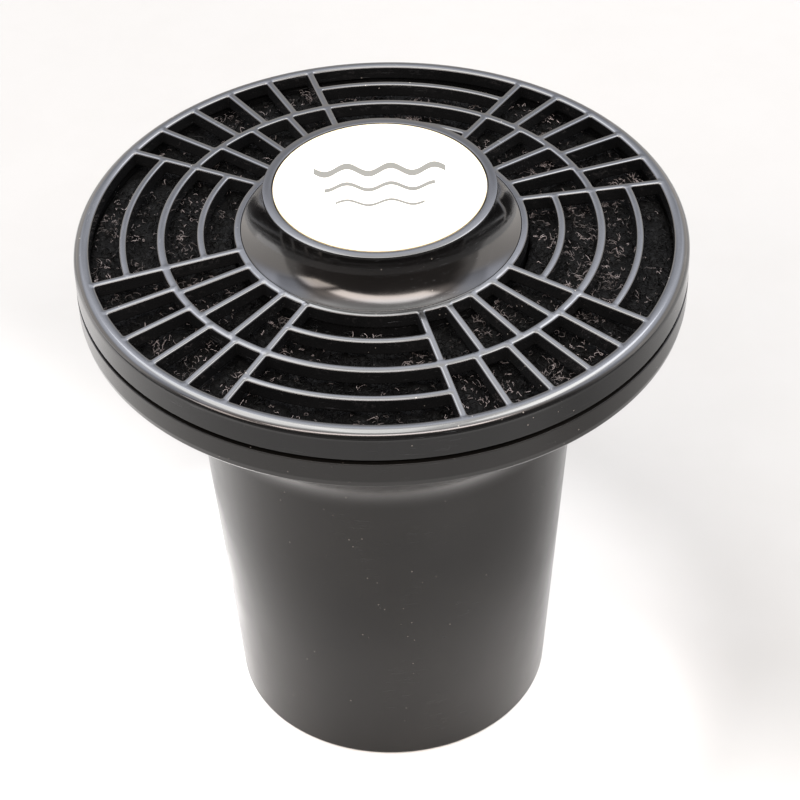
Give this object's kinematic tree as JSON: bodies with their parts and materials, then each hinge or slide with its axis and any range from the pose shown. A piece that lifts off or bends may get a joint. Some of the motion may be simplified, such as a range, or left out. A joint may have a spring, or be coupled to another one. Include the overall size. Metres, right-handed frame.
{
  "type": "hair dryer diffuser",
  "caption": "Round slip-on diffuser for a hair dryer: drafted cylindrical neck, flared dish, slotted grille with a raised trumpet hub over a curled-fibre pad; the front lifts off for cleaning.",
  "frame": {"origin": "centre of the neck's mouth, on the plane that the part stands on", "axes": "+Z along the neck from the mouth to the grille; the object is turned about Z"},
  "size_m": [0.127, 0.127, 0.1319],
  "materials": {
    "housing_plastic": "satin black moulded ABS, slightly warm",
    "sleeve_rubber": "matte black rubber",
    "inner_plastic": "matte black moulded plastic",
    "grille_plastic": "satin-gloss black ABS with scuffed edges",
    "hub_plastic": "glossy black plastic",
    "label_vinyl": "cream satin label",
    "pad_fibre": "black curled synthetic fibre",
    "screw_steel": "zinc-plated steel"
  },
  "bodies": {
    "housing": {"rear_housing": "housing_plastic", "grip_sleeve": "sleeve_rubber", "sleeve_snap_ring": "inner_plastic"},
    "front_assembly": {"front_grille": "grille_plastic", "hub_boss": "hub_plastic", "hub_label": "label_vinyl", "diffuser_pad": "pad_fibre", "pad_retainer": "inner_plastic", "air_deflector": "inner_plastic", "hub_screw": "screw_steel", "hub_washer": "screw_steel", "retainer_screw_1": "screw_steel", "retainer_screw_2": "screw_steel", "retainer_screw_3": "screw_steel", "retainer_screw_4": "screw_steel"}
  },
  "joints": [
    {"name": "grille_liftoff", "type": "slide", "parent": "housing", "child": "front_assembly", "axis": [0, 0, 1], "range_m": [0, 0.03]}
  ]
}
